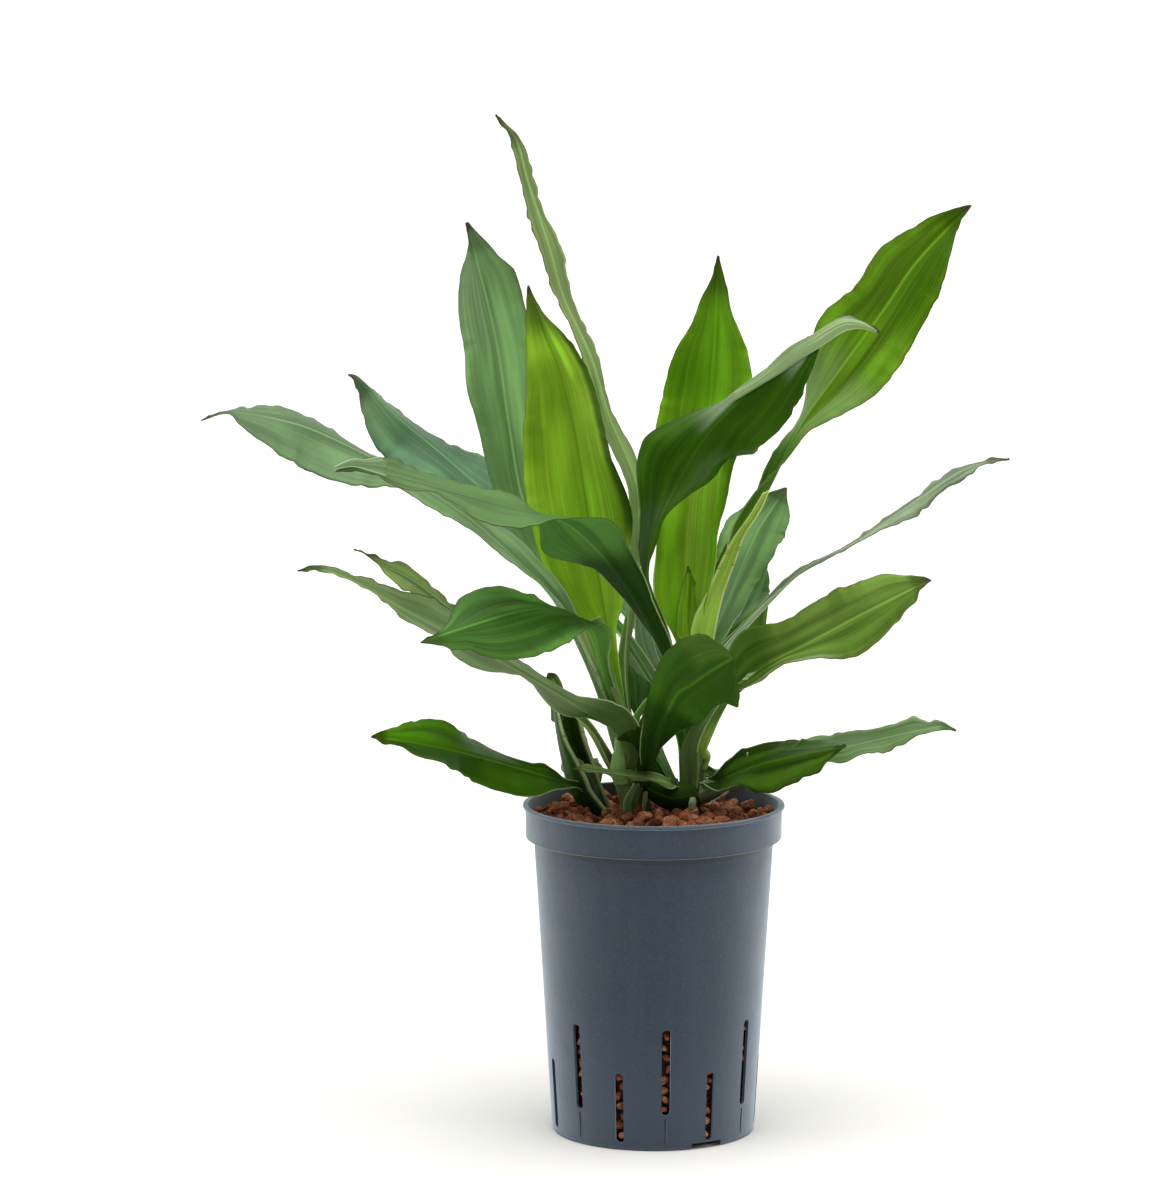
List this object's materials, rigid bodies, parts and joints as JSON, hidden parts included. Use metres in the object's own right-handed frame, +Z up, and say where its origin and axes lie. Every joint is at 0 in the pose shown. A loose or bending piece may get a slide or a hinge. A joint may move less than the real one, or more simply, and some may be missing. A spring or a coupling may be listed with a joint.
{
  "type": "potted dracaena",
  "caption": "Leafy dracaena with long arching wavy-edged leaves on short green canes, in a tapered slotted plastic culture pot filled with broken clay granules",
  "frame": {"origin": "centre of the pot's flat base, on the ground", "axes": "+X to the viewer's right, +Y away from the viewer, +Z up along the pot's axis"},
  "size_m": [0.4605, 0.3034, 0.5808],
  "materials": {
    "pot_plastic": "satin moulded plastic, blue-grey",
    "fired_clay": "rough broken fired clay, red-brown",
    "cane_skin": "smooth green plant stem",
    "leaf_mature": "semi-gloss dark green leaf",
    "leaf_young": "semi-gloss yellow-green leaf",
    "leaf_bluish": "semi-gloss blue-green leaf"
  },
  "bodies": {
    "root": {"pot": "pot_plastic", "clay_granules": "fired_clay", "cane_middle": "cane_skin", "cane_right": "cane_skin", "cane_side_shoot": "cane_skin", "leaf_tall_thin": "leaf_mature", "leaf_back_left": "leaf_bluish", "leaf_bright_upright": "leaf_young", "leaf_arching_left": "leaf_mature", "leaf_far_left": "leaf_bluish", "leaf_back_left_spreading": "leaf_bluish", "leaf_centre_upright": "leaf_young", "leaf_arching_right": "leaf_mature", "leaf_high_right": "leaf_mature", "leaf_back_right": "leaf_bluish", "leaf_slim_right": "leaf_mature", "leaf_back_right_short": "leaf_mature", "leaf_middle_right": "leaf_mature", "leaf_front_centre": "leaf_mature", "leaf_front_left": "leaf_mature", "leaf_lower_left": "leaf_mature", "leaf_thread_tip_left": "leaf_mature", "leaf_bottom_left": "leaf_mature", "leaf_bottom_right": "leaf_mature", "leaf_bottom_right_back": "leaf_mature", "leaf_small_front": "leaf_mature", "leaf_side_shoot_outer": "leaf_mature", "leaf_side_shoot_inner": "leaf_mature", "leaf_young_spear": "leaf_young"}
  },
  "joints": []
}
